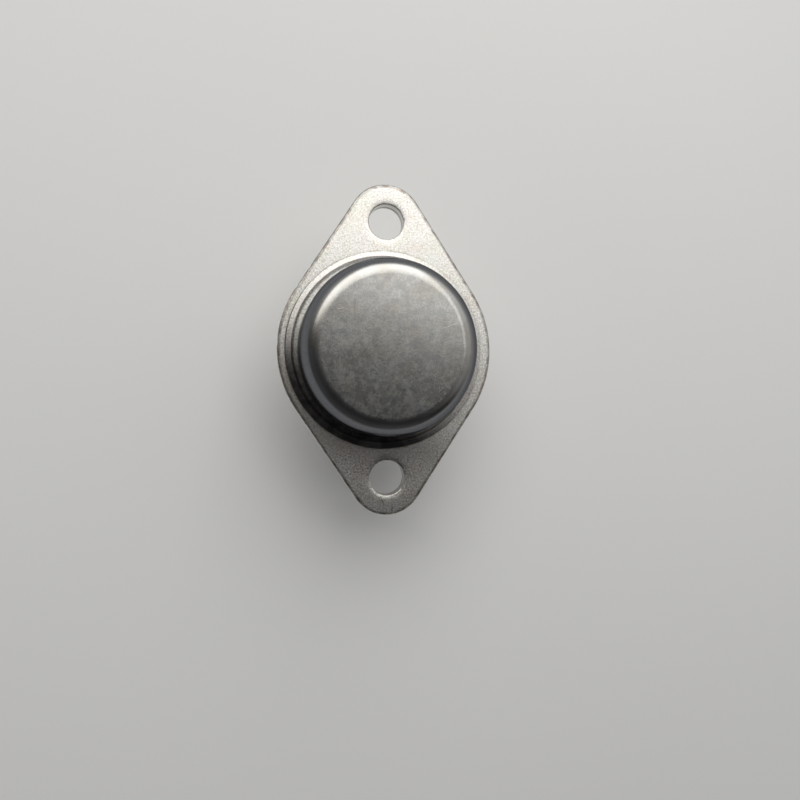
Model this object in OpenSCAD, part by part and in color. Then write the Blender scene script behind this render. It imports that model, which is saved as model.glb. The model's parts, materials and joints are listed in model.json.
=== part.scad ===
// Power transistor in a round metal can on a flange with two mounting holes
// Millimetres. The origin is the centre of the flange's underside, the face that seats on a heat sink.
// +Z runs up through the can, the two mounting holes lie along Y, and the two leads hang down in a line along X.

/* [Flange] */
// Thickness of the flange plate
plate_t = 1.6; // [1.3:0.1:2.2]
// How far the flange's two wide side arcs stand out past the cap's brim
ledge_w = 1.15; // [0.8:0.05:2]
// Radius of the flange's two rounded ends
end_r = 4.4; // [3.6:0.1:5]
// Distance between the centres of the two mounting holes
hole_spacing = 30.15; // [29.55:0.05:31]
// Diameter of the mounting holes
hole_d = 4.1; // [3.2:0.1:4.4]
// Rounding that punching leaves along the flange's top edge
edge_roll = 0.25; // [0.1:0.05:0.4]
// Rounding that punching leaves round the top of each mounting hole
hole_roll = 0.1; // [0.05:0.05:0.3]
// Chamfer that tumbling leaves along the flange's bottom edge
edge_break = 0.1; // [0.05:0.05:0.2]

/* [Cap] */
// Outside diameter of the cap's drawn wall
cap_d = 19.95; // [19.25:0.05:20.15]
// Height of the cap above the flange
cap_h = 5.9; // [5.5:0.1:7]
// Thickness of the cap's wall
cap_wall = 0.45; // [0.3:0.05:0.6]
// Thickness of the cap's top
cap_top_t = 0.5; // [0.3:0.05:0.8]
// Outside radius of the shoulder between the wall and the top
shoulder_r = 2.1; // [1:0.1:2.5]
// Radius of the bend between the wall and the brim
foot_r = 0.3; // [0.15:0.05:0.35]
// How far the cap sits off the flange's centre, to the side
cap_shift = -0.2; // [-0.3:0.05:0.3]

/* [Cap brim] */
// How far the brim stands out from the cap's wall
brim_w = 1.575; // [1.4:0.025:1.9]
// Thickness of the brim at its outer edge
brim_edge_t = 0.32; // [0.2:0.02:0.4]
// Chamfer on the brim's outer edge
brim_break = 0.06; // [0.02:0.02:0.12]
// How far in from the brim's outer edge its crest lies, where it is thickest
crest_in = 0.55; // [0.3:0.05:0.65]
// Width of the flat on top of the crest
crest_flat = 0.08; // [0.04:0.02:0.14]
// Thickness of the brim at its crest
crest_t = 0.48; // [0.42:0.02:0.7]
// Width of the step from the crest down to the weld track
step_w = 0.27; // [0.12:0.03:0.33]
// Thickness of the brim along the track that the welding ring pressed down
track_t = 0.3; // [0.2:0.02:0.36]

/* [Leads and seals] */
// Distance between the centres of the two leads
lead_spacing = 10.92; // [10.7:0.02:11.3]
// How far the line of the leads lies off the flange's centre, towards one mounting hole
lead_offset = 1.8; // [1.5:0.05:2.1]
// Diameter of a lead outside its seal
lead_d = 1; // [0.96:0.01:1.15]
// Length of a lead below the flange
lead_length = 11.8; // [10:0.1:13]
// Chamfer on a lead's cropped tip
tip_chamfer = 0.2; // [0.05:0.05:0.35]
// Diameter of a lead's inner post, to which it tapers inside its seal
post_d = 0.94; // [0.8:0.02:0.96]
// How far a post stands above the eyelet of its clip
post_stand = 0.4; // [0.35:0.05:0.8]
// Chamfer on a post's top
post_chamfer = 0.08; // [0.02:0.02:0.12]
// Diameter of the hole in the flange that a glass seal fills
seal_d = 3.2; // [2.6:0.1:3.4]
// How far the glass lies back from both faces of the flange
seal_recess = 0.1; // [0.05:0.05:0.3]
// Depth of the dish that surface tension leaves in the glass
seal_dish = 0.12; // [0.04:0.02:0.24]
// Width of the flat rim on both sides of that dish
seal_rim = 0.1; // [0.05:0.05:0.25]

/* [Chip and its seat] */
// Width of the copper heat spreader, across the flange
spreader_w = 7; // [5.6:0.1:7.2]
// Length of the heat spreader, along the flange
spreader_l = 9; // [6:0.1:11]
// Thickness of the heat spreader
spreader_t = 1; // [0.5:0.1:1.6]
// Radius of the heat spreader's corners
spreader_corner = 1; // [0.4:0.1:2]
// Thickness of the braze under the heat spreader
braze_t = 0.08; // [0.04:0.02:0.16]
// How far the braze stays back from the heat spreader's outline
braze_inset = 0.1; // [0.05:0.05:0.3]
// How far the chip and its seat lie off the flange's centre, away from the leads
chip_offset = 1.2; // [0.6:0.1:1.8]
// Side of the square silicon chip
chip_w = 4.6; // [4.4:0.1:5.4]
// Thickness of the chip
chip_t = 0.25; // [0.15:0.05:0.4]
// Thickness of the solder under the chip
chip_solder_t = 0.06; // [0.03:0.01:0.12]
// How far the chip's solder runs out past the chip
chip_solder_rim = 0.15; // [0.05:0.05:0.3]

/* [Contacts and clips] */
// Thickness of the soldered contacts on the chip
contact_t = 0.05; // [0.03:0.01:0.1]
// Width and length of the emitter contact
emitter_contact_w = 2.3; // [2.2:0.1:2.5]
// Place of the emitter contact's centre across the chip
emitter_contact_x = -0.85; // [-1:0.05:-0.75]
// Place of the emitter contact's centre along the chip
emitter_contact_y = -0.4; // [-0.8:0.05:0]
// Width and length of the base contact
base_contact_w = 1.4; // [1.35:0.05:1.6]
// Place of the base contact's centre across the chip
base_contact_x = 1.4; // [1.2:0.05:1.5]
// Place of the base contact's centre along the chip
base_contact_y = 0.9; // [0.5:0.05:1.2]
// Thickness of the clips' strip
clip_t = 0.2; // [0.12:0.02:0.3]
// Width of the emitter clip's strip
emitter_clip_w = 1.6; // [1:0.1:1.7]
// Width of the base clip's strip
base_clip_w = 0.9; // [0.6:0.05:0.95]
// Length of a clip's foot on its contact
clip_foot = 0.9; // [0.6:0.05:1]
// How far a clip's eyelet stands above its foot
clip_rise = 0.6; // [0.45:0.05:1.2]
// Inner radius of a clip's two bends
clip_bend_r = 0.25; // [0.1:0.05:0.3]
// Outside diameter of a clip's eyelet
eyelet_d = 2.2; // [1.8:0.1:2.6]
// Gap between a post and the eyelet round it
eyelet_gap = 0.04; // [0.02:0.01:0.1]
// Diameter of the solder bead round a post
bead_d = 1.6; // [1.4:0.05:1.75]
// Height of that bead
bead_h = 0.25; // [0.12:0.01:0.28]

/* [Hidden] */

// Fineness: of the flange's outline, of the rolled edge, of all other circles, and of a clip's bends
outline_fn = 120;
roll_fn = 24;
round_fn = 96;
bend_steps = 6;
// Overlap that lets cutters pass through what they cut
through = 1;
// Both bends of a clip turn by this angle
bend_angle = 45;
// Height of the straight lip under a solder bead's slope, and the width of the bead's flat top
bead_lip = 0.05;

nickel_steel = [0.72, 0.7, 0.65];
copper = [0.72, 0.42, 0.28];
glass_green = [0.2, 0.28, 0.24];
lead_metal = [0.75, 0.74, 0.7];
solder_grey = [0.6, 0.6, 0.62];
braze_yellow = [0.75, 0.65, 0.4];
silicon_grey = [0.25, 0.26, 0.3];
clip_metal = [0.78, 0.72, 0.6];

hole_r = hole_d / 2;
cap_r = cap_d / 2;
cap_bore_r = cap_r - cap_wall;
mouth_r = foot_r + cap_wall;
brim_r = cap_r + brim_w;
crest_r = brim_r - crest_in;
track_r = crest_r - crest_flat - step_w;
side_r = brim_r + ledge_w;
lead_r = lead_d / 2;
post_r = post_d / 2;
seal_r = seal_d / 2;

// Places of the mounting holes and of the leads
hole_places = [[0, -hole_spacing / 2], [0, hole_spacing / 2]];
emitter_place = [-lead_spacing / 2, lead_offset];
base_place = [lead_spacing / 2, lead_offset];

// Heights of the stack on the flange: each layer lies on the one before
spreader_z = plate_t + braze_t;
chip_solder_z = spreader_z + spreader_t;
chip_z = chip_solder_z + chip_solder_t;
contact_z = chip_z + chip_t;
clip_foot_z = contact_z + contact_t;
eyelet_z = clip_foot_z + clip_rise;
bead_z = eyelet_z + clip_t;
post_top_z = bead_z + post_stand;

chip_place = [0, -chip_offset];
emitter_contact_place = chip_place + [emitter_contact_x, emitter_contact_y];
base_contact_place = chip_place + [base_contact_x, base_contact_y];

// Quarter of a disc, in the corner between +X and +Y
module quarter_disc(r) {
    intersection() {
        circle(r, $fn = round_fn);
        square(2 * r);
    }
}

// Half section of a closed can: radius r, height h, with a rounded corner at the top
module can_section(r, h, corner) {
    square([r, h - corner]);
    square([r - corner, h]);
    translate([r - corner, h - corner]) quarter_disc(corner);
}

// Rectangle with round corners, centred
module rounded_rectangle(w, l, corner) {
    square([w - 2 * corner, l], center = true);
    square([w, l - 2 * corner], center = true);
    for (mx = [0, 1], my = [0, 1])
        mirror([mx, 0]) mirror([0, my])
            translate([w / 2 - corner, l / 2 - corner]) quarter_disc(corner);
}

// Disc of the flange's thickness, rolled at its top edge and chamfered at its bottom edge
module rolled_disc(r) {
    rotate_extrude($fn = outline_fn) {
        polygon([
            [0, 0], [r - edge_break, 0], [r, edge_break],
            [r, plate_t - edge_roll], [0, plate_t - edge_roll]
        ]);
        square([r - edge_roll, plate_t]);
        translate([r - edge_roll, plate_t - edge_roll]) intersection() {
            circle(edge_roll, $fn = roll_fn);
            square(2 * edge_roll);
        }
    }
}

// Cutter for a mounting hole, which flares where punching rolled the plate's top edge
module rolled_hole() {
    rotate_extrude($fn = round_fn) {
        translate([0, -through]) square([hole_r, plate_t + 2 * through]);
        difference() {
            translate([0, plate_t - hole_roll]) square([hole_r + hole_roll, hole_roll + through]);
            translate([hole_r + hole_roll, plate_t - hole_roll]) circle(hole_roll, $fn = round_fn);
        }
    }
}

// Flange: one punched steel plate with the mounting holes and a hole for each glass seal
module base_plate() {
    color(nickel_steel) difference() {
        hull() {
            rolled_disc(side_r);
            for (place = hole_places) translate(place) rolled_disc(end_r);
        }
        for (place = hole_places) translate(place) rolled_hole();
        for (place = [emitter_place, base_place])
            translate([place.x, place.y, -through]) cylinder(plate_t + 2 * through, r = seal_r, $fn = round_fn);
    }
}

// Half section of the brim: an edge, a slope up to the crest, and a step down to the weld track
module brim_section() {
    polygon([
        [cap_bore_r, 0], [brim_r, 0], [brim_r, brim_edge_t - brim_break],
        [brim_r - brim_break, brim_edge_t], [crest_r, crest_t], [crest_r - crest_flat, crest_t],
        [track_r, track_t], [cap_bore_r, track_t]
    ]);
}

// Bend between the wall and the weld track, on the outside
module foot_fillet_section() {
    difference() {
        translate([cap_r - cap_wall / 2, track_t / 2]) square([foot_r + cap_wall / 2, foot_r + track_t / 2]);
        translate([cap_r + foot_r, track_t + foot_r]) circle(foot_r, $fn = round_fn);
    }
}

// What the bend opens on the inside, at the cap's mouth
module mouth_section() {
    difference() {
        translate([cap_bore_r - through, -through]) square([through + mouth_r, through + mouth_r]);
        translate([cap_bore_r + mouth_r, mouth_r]) circle(mouth_r, $fn = round_fn);
    }
}

// Cap: one drawn can with its brim, welded to the flange along the brim
module cap() {
    color(nickel_steel) translate([cap_shift, 0, plate_t]) rotate_extrude($fn = round_fn) difference() {
        union() {
            can_section(cap_r, cap_h, shoulder_r);
            brim_section();
            foot_fillet_section();
        }
        can_section(cap_bore_r, cap_h - cap_top_t, shoulder_r - cap_wall);
        mouth_section();
    }
}

// Circle that dishes the glass to depth seal_dish between two flat rims, touching the line at height z
module dish_section(z, side) {
    half = (seal_r - lead_r) / 2 - seal_rim;
    ball_r = (half * half + seal_dish * seal_dish) / (2 * seal_dish);
    translate([(seal_r + lead_r) / 2, z + side * (ball_r - seal_dish)]) circle(ball_r, $fn = round_fn);
}

// Glass bead that holds a lead in the flange and keeps it insulated
module glass_seal(place) {
    color(glass_green) translate(place) rotate_extrude($fn = round_fn) difference() {
        polygon([
            [lead_r, seal_recess], [seal_r, seal_recess],
            [seal_r, plate_t - seal_recess], [post_r, plate_t - seal_recess]
        ]);
        dish_section(seal_recess, -1);
        dish_section(plate_t - seal_recess, 1);
    }
}

// Lead: a straight wire that tapers to its post inside the glass
module lead(place) {
    color(lead_metal) translate(place) rotate_extrude($fn = round_fn) polygon([
        [0, -lead_length], [lead_r - tip_chamfer, -lead_length], [lead_r, tip_chamfer - lead_length],
        [lead_r, seal_recess], [post_r, plate_t - seal_recess],
        [post_r, post_top_z - post_chamfer], [post_r - post_chamfer, post_top_z], [0, post_top_z]
    ]);
}

// Braze that joins the heat spreader to the flange
module spreader_braze() {
    color(braze_yellow) translate([chip_place.x, chip_place.y, plate_t]) linear_extrude(braze_t)
        rounded_rectangle(
            spreader_w - 2 * braze_inset, spreader_l - 2 * braze_inset, spreader_corner - braze_inset
        );
}

// Copper pad that spreads the chip's heat into the flange
module heat_spreader() {
    color(copper) translate([chip_place.x, chip_place.y, spreader_z]) linear_extrude(spreader_t)
        rounded_rectangle(spreader_w, spreader_l, spreader_corner);
}

// Flat square layer of the chip stack, centred on a place
module layer(place, w, z, t) {
    translate([place.x - w / 2, place.y - w / 2, z]) cube([w, w, t]);
}

module chip_solder() {
    color(solder_grey) layer(chip_place, chip_w + 2 * chip_solder_rim, chip_solder_z, chip_solder_t);
}

module silicon_chip() {
    color(silicon_grey) layer(chip_place, chip_w, chip_z, chip_t);
}

module emitter_contact() {
    color(solder_grey) layer(emitter_contact_place, emitter_contact_w, contact_z, contact_t);
}

module base_contact() {
    color(solder_grey) layer(base_contact_place, base_contact_w, contact_z, contact_t);
}

// Points on an arc about a centre, from angle a to angle b
function arc(centre, r, a, b) =
    [for (i = [0:bend_steps]) centre + r * [cos(a + (b - a) * i / bend_steps), sin(a + (b - a) * i / bend_steps)]];

// Side view of a clip's strip from its eyelet at the origin to the far end of its foot at distance reach:
// level, bent down, straight, bent level again and flat along the foot, whose underside is at height -clip_rise
module strip_section(reach) {
    outer_r = clip_bend_r + clip_t;
    bend_x = (clip_bend_r + outer_r) * sin(bend_angle);
    bend_drop = (clip_bend_r + outer_r) * (1 - cos(bend_angle));
    slope_x = (clip_rise - bend_drop) / tan(bend_angle);
    heel_x = reach - clip_foot;
    start_x = heel_x - bend_x - slope_x;
    top_centre = [start_x, -clip_bend_r];
    foot_centre = [heel_x, clip_bend_r + clip_t - clip_rise];
    polygon(concat(
        [[0, 0]],
        arc(top_centre, clip_bend_r, 90, 90 - bend_angle),
        arc(foot_centre, outer_r, 270 - bend_angle, 270),
        [[reach, -clip_rise], [reach, clip_t - clip_rise]],
        arc(foot_centre, clip_bend_r, 270, 270 - bend_angle),
        arc(top_centre, outer_r, 90 - bend_angle, 90),
        [[0, clip_t]]
    ));
}

// Clip: a bent strip from the eyelet round a post to the middle of a contact
module clip(post, contact, w) {
    run = contact - post;
    color(clip_metal) translate([post.x, post.y, eyelet_z]) rotate(atan2(run.y, run.x)) difference() {
        union() {
            translate([0, w / 2, 0]) rotate([90, 0, 0]) linear_extrude(w) strip_section(norm(run) + clip_foot / 2);
            cylinder(clip_t, d = eyelet_d, $fn = round_fn);
        }
        translate([0, 0, -through]) cylinder(clip_t + 2 * through, r = post_r + eyelet_gap, $fn = round_fn);
    }
}

// Solder bead that joins an eyelet to its post
module lead_solder(place) {
    color(solder_grey) translate([place.x, place.y, bead_z]) rotate_extrude($fn = round_fn) polygon([
        [post_r, 0], [bead_d / 2, 0], [bead_d / 2, bead_lip], [post_r + bead_lip, bead_h], [post_r, bead_h]
    ]);
}

base_plate();
cap();
glass_seal(emitter_place);  // emitter_glass_seal
glass_seal(base_place);  // base_glass_seal
lead(emitter_place);  // emitter_lead
lead(base_place);  // base_lead
spreader_braze();
heat_spreader();
chip_solder();
silicon_chip();
emitter_contact();
base_contact();
clip(emitter_place, emitter_contact_place, emitter_clip_w);  // emitter_clip
clip(base_place, base_contact_place, base_clip_w);  // base_clip
lead_solder(emitter_place);  // emitter_lead_solder
lead_solder(base_place);  // base_lead_solder
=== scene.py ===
import json
import math

import bmesh
import bpy
import numpy as np
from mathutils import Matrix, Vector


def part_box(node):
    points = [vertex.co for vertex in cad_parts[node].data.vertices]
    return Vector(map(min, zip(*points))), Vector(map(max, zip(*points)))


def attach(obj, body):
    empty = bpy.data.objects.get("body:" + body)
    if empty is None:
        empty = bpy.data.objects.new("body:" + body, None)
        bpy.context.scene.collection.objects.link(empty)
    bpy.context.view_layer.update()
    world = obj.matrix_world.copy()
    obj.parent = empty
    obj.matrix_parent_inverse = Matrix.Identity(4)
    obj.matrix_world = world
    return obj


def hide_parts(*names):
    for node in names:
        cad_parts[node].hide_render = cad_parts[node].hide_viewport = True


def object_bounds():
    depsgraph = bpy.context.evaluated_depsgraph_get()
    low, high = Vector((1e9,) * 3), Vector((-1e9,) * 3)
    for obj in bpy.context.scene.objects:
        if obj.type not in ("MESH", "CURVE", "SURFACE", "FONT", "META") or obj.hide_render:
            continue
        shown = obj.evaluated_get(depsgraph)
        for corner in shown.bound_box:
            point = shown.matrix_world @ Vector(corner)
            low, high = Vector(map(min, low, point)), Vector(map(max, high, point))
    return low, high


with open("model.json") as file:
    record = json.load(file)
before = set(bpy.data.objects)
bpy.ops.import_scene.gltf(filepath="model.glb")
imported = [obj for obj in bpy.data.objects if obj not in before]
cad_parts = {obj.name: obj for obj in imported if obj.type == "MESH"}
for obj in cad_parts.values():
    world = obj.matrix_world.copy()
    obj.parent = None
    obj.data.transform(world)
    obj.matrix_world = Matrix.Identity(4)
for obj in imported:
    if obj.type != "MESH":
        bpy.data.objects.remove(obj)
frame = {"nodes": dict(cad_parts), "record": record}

cad_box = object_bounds()

MM = 0.001
MM_PER_METRE = 1000.0


# Sizes in millimetres, read from the frame

def box_mm(node):
    """Lowest and highest corner of a CAD node in millimetres."""
    low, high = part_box(node)
    return np.array(low) / MM, np.array(high) / MM


def round_mm(node):
    """Centre seen from above, and radius, of a round CAD node in millimetres."""
    low, high = box_mm(node)
    return (low[:2] + high[:2]) / 2, (high[0] - low[0]) / 2


def mount(name):
    """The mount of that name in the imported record."""
    return next(m for m in frame["record"]["mounts"] if m["name"] == name)


plate_high = box_mm("base_plate")[1]
cap_low, cap_high = box_mm("cap")
plate_t = plate_high[2]
side_r = plate_high[0]
hole_r = mount("upper_screw_hole")["dims"]["r_mm"]
hole_y = mount("upper_screw_hole")["pos_m"][1] / MM
end_r = plate_high[1] - hole_y
cap_x = (cap_low[0] + cap_high[0]) / 2
brim_r = (cap_high[0] - cap_low[0]) / 2
cap_top = cap_high[2]
cap_h = cap_top - plate_t

# Sizes in millimetres that the boxes don't give: the flange's edges and holes. Round each mounting
# hole the face dips towards the hole, as the punch leaves it
hole_dip = 0.08
hole_dip_reach = 1.3
edge_roll = 0.25
edge_break = 0.1
hole_roll = 0.1
hole_break = 0.05
seal_hole_break = 0.04
burnish_end = 0.95
tear_depth = 0.03
tear_slope = 0.12
tear_waver = 0.012
# The torn band's waver as a sum of sines: each one's size, count round the outline and start
tear_waves = ((0.4, 37, 0.0), (0.35, 83, 1.3), (0.25, 171, 4.0))
# How far from a mounting hole's centre the cut runs between the tiles of the flange's surface, how
# wide the band of close rows is along a tile's border, and how far from a hole's edge rows lie
cut_from_hole = 3.5
border_band = 0.35
rows_near_hole = (1.1, 0.75, 0.5, 0.32, 0.2, 0.1, 0.04)
# How much a hole's rim counts as a worn edge, where the flange's own edge counts as 1
hole_wear = 0.65

# The cap's wall, shoulder and brim
brim_w = 1.575
cap_r = brim_r - brim_w
cap_wall = 0.45
cap_top_t = 0.5
shoulder_r = 2.1
foot_r = 0.3
track_t = 0.3
crest_r = brim_r - 0.55
crest_flat = 0.08
crest_t = 0.48
track_r = crest_r - crest_flat - 0.27
step_foot_r = 0.35
crest_inner_r = 0.14
crest_outer_r = 0.3
brim_edge_t = 0.32
brim_edge_r = 0.08
brim_crevice = 0.07
# How far the brim's edge and its crest waver, and the sum of sines round the can that both follow
brim_waver = 0.012
crest_waver = 0.02
weld_waves = ((0.5, 3, 0.7), (0.3, 8, 2.1), (0.2, 23, 5.0))

# The glass seals and the leads
seal_recess = 0.1
seal_dish = 0.12
seal_chamfer = 0.05
wire_tip = 0.2
crop_slope = 0.08
post_r = 0.47
post_chamfer = 0.08

# Fineness: points along a quarter of the flange's outline, and steps round each revolved piece
OUTLINE_QUARTER = 150
CAP_STEPS = 384
WIRE_STEPS = 64
SEAL_STEPS = 96
# Distance of the extra points that keep a side flat, in millimetres, and distance in metres at
# which points merge
SUPPORT = 0.035
MERGE = 0.5e-6


# Surfaces

def unit(vectors):
    """Each vector divided by its length."""
    return vectors / np.linalg.norm(vectors, axis=-1, keepdims=True)


def full_turn(steps):
    """Even angles from 0 on round a full turn."""
    return np.linspace(0, 2 * math.pi, steps, endpoint=False)


def section(corners, spacing=0.6, arc_step=7.0):
    """Open profile through corners (x, z, radius). Each corner is an arc of its radius that touches
    both of its sides, in steps of at most arc_step degrees. Each side keeps an extra point close to
    both of its ends, so that it stays flat under smooth shading, and is cut into lengths of at most
    spacing."""
    places = np.array([corner[:2] for corner in corners], float)
    arcs = [places[:1]]
    radii = [corner[2] for corner in corners[1:-1]]
    for before, here, after, radius in zip(places, places[1:], places[2:], radii):
        towards_before, towards_after = unit(before - here), unit(after - here)
        half = math.acos(np.clip(towards_before @ towards_after, -1, 1)) / 2
        start = here + towards_before * radius / math.tan(half)
        end = here + towards_after * radius / math.tan(half)
        centre = here + unit(towards_before + towards_after) * radius / math.sin(half)
        turn = math.pi - 2 * half
        t = np.linspace(0, 1, max(3, math.ceil(math.degrees(turn) / arc_step) + 1))[:, None]
        spokes = np.sin((1 - t) * turn) * (start - centre) + np.sin(t * turn) * (end - centre)
        arcs.append(centre + spokes / math.sin(turn))
    arcs.append(places[-1:])
    runs = [arcs[0]]
    for here, following in zip(arcs, arcs[1:]):
        length = np.linalg.norm(following[0] - here[-1])
        support = min(SUPPORT, length / 3)
        count = max(2, math.ceil(length / spacing))
        inner = np.linspace(support, length - support, count)[:, None] / length
        runs.append(here[-1] + (following[0] - here[-1]) * inner)
        runs.append(following)
    return np.vstack(runs)


def patch(points, wrap_columns=True, **masks):
    """A grid of points as (points, quads, masks): each quad joins four neighbours, and the last
    column joins the first where the grid wraps. A mask is one value, or one for each point."""
    rows, columns = points.shape[:2]
    index = np.arange(rows * columns).reshape(rows, columns)
    across = np.roll(index, -1, axis=1) if wrap_columns else index[:, 1:]
    here = index if wrap_columns else index[:, :-1]
    quads = np.stack([here[:-1], across[:-1], across[1:], here[1:]], axis=-1).reshape(-1, 4)
    values = {name: np.broadcast_to(mask, (rows, columns)).reshape(-1) for name, mask in masks.items()}
    return points.reshape(-1, 3), quads, values


def revolved(profile, centre, steps):
    """Each profile point (r, z) carried round the vertical axis through centre: at the angle a it
    lies at (r cos a, r sin a, z) from there."""
    angle = full_turn(steps)
    r, z = profile[:, :1], profile[:, 1:]
    x = centre[0] + r * np.cos(angle)
    y = centre[1] + r * np.sin(angle)
    return np.stack([x, y, z + 0 * angle], axis=-1)


def build(name, nodes, material, patches):
    """One closed piece from patches in millimetres. Points that coincide are merged, and faces turn
    outwards."""
    offsets = np.cumsum([0] + [len(points) for points, _, _ in patches[:-1]])
    points = np.vstack([points for points, _, _ in patches]) * MM
    quads = np.vstack([quads + offset for offset, (_, quads, _) in zip(offsets, patches)])
    mesh = bpy.data.meshes.new(name)
    mesh.from_pydata(points, [], quads)
    for mask in sorted({key for _, _, values in patches for key in values}):
        values = [v.get(mask, np.zeros(len(p))) for p, _, v in patches]
        layer = mesh.attributes.new(mask, "FLOAT", "POINT")
        layer.data.foreach_set("value", np.concatenate(values).astype(np.float32))
    solid = bmesh.new()
    solid.from_mesh(mesh)
    bmesh.ops.remove_doubles(solid, verts=solid.verts, dist=MERGE)
    bmesh.ops.recalc_face_normals(solid, faces=solid.faces)
    solid.to_mesh(mesh)
    solid.free()
    mesh.shade_smooth()
    mesh.materials.append(material)
    piece = bpy.data.objects.new(name, mesh)
    bpy.context.scene.collection.objects.link(piece)
    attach(piece, "root")
    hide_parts(*nodes)
    return piece


# Flange

def flange_outline(count):
    """Outline of the flange from +X round to +X again, as places and outward normals. The outline
    is the tight band round the side disc and the two end discs. In the first quarter the length s
    runs along the side arc, the tangent line and the end arc, and the normal's angle is s / side_r
    on the side arc, stays at the line's own angle on the line, and grows by s / end_r on the end
    arc. The other quarters mirror it."""
    turn = math.asin((side_r - end_r) / hole_y)
    line = math.sqrt(hole_y ** 2 - (side_r - end_r) ** 2)
    side_length = side_r * turn
    s = np.linspace(0, side_length + line + end_r * (math.pi / 2 - turn), count + 1)
    on_line = np.clip(s - side_length, 0, line)
    on_end = np.clip(s - side_length - line, 0, None)
    angle = np.minimum(s, side_length) / side_r + on_end / end_r
    normal = np.stack([np.cos(angle), np.sin(angle)], axis=-1)
    along = np.array([-math.sin(turn), math.cos(turn)])
    side_or_line = side_r * normal + on_line[:, None] * along
    end = end_r * normal + [0, hole_y]
    place = np.where(on_end[:, None] > 0, end, side_or_line)
    upper = [np.vstack([a, a[-2::-1] * [-1, 1]]) for a in (place, normal)]
    return [np.vstack([a, a[-2:0:-1] * [1, -1]]) for a in upper]


def waver(phase, waves):
    """Sum over waves of size times the sine of count times phase plus start."""
    return sum(size * np.sin(count * phase + start) for size, count, start in waves)


def bumps(values, places, centres, width):
    """Sum over centres of the bell exp(-(distance / width) squared), times each centre's value."""
    total = np.zeros(places.shape[:-1])
    for value, centre in zip(values, centres):
        gap = np.linalg.norm(places - np.array(centre), axis=-1)
        total += value * np.exp(-(gap / width) ** 2)
    return total


# Small nicks along the flange's edge, and one in a mounting hole's rim: their places seen from
# above, how deep and wide they are, and how far down they reach
nick_places = [
    (-8.78, 9.44), (-10.26, 7.1), (-12.65, 0.77), (11.6, 5.6), (7.9, -10.6), (-6.3, -12.9), (5.6, 14.3)
]
nick_depths = [0.11, 0.12, 0.1, 0.06, 0.07, 0.06, 0.05]
nick_width = 0.28
nick_reach = 0.5
rim_nick_place = (2.12, 15.4)
rim_nick_depth = 0.1
rim_nick_width = 0.25
rim_nick_reach = 0.3


def flange_edge(place, normal):
    """The flange's edge strip: a profile (offset, z) carried along the outline, offset along its
    normal. The profile rolls over at the top, runs down the sheared band, falls back a little over
    the torn band and is broken at the bottom. The torn band's depth wavers along the outline, and
    nicks press the upper part in, less and less towards the strip's inner border, which stays in
    its place."""
    profile = section([
        (-edge_roll - SUPPORT, plate_t, 0), (0, plate_t, edge_roll), (0, plate_t - burnish_end, 0.1),
        (-tear_depth, plate_t - burnish_end - tear_slope, 0.1), (-tear_depth, edge_break, 0.03),
        (-edge_break, 0, 0.02), (-edge_break - SUPPORT, 0, 0)
    ], spacing=0.12, arc_step=10)
    step = np.linalg.norm(place - np.roll(place, 1, axis=0), axis=1)
    run = np.cumsum(step) - step[0]
    length = run[-1] + step[0]
    phase = 2 * math.pi * run / length
    offset = profile[:, :1] * np.ones(len(place))
    below_burnish = (profile[:, 1:] < plate_t - burnish_end) & (profile[:, 1:] > edge_break)
    torn = (offset < -0.5 * tear_depth) & below_burnish
    offset = offset + torn * tear_waver * (waver(phase, tear_waves) - 1)
    points = place + offset[..., None] * normal
    height = profile[:, 1:] + 0 * run
    nicked = bumps(nick_depths, points, nick_places, nick_width)
    nicked = nicked * np.exp(-((plate_t - height) / nick_reach) ** 2)
    nicked = nicked * np.clip(1 + profile[:, :1] / (edge_roll + SUPPORT), 0, 1)
    points = points - nicked[..., None] * normal
    side = (height < plate_t - 0.5 * edge_roll) & (height > 0.5 * edge_break)
    near_top = np.clip(1 - (plate_t - height) / (2 * edge_roll), 0, 1)
    return patch(
        np.concatenate([points, height[..., None]], axis=-1),
        edge=near_top, side=side * 1.0, run=np.broadcast_to(run, height.shape)
    )


def dipped(points):
    """The same points, lower near a mounting hole: the top face sinks by hole_dip * (1 - gap /
    reach) to the fourth power, where gap is the distance from the hole's wall, and a point further
    down sinks less, in proportion to its height."""
    sunk = points.copy()
    for y in (-hole_y, hole_y):
        gap = np.linalg.norm(points[..., :2] - [0, y], axis=-1) - hole_r
        share = np.clip(1 - gap / hole_dip_reach, 0, 1) ** 4
        sunk[..., 2] -= hole_dip * share * points[..., 2] / plate_t
    return sunk


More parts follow.
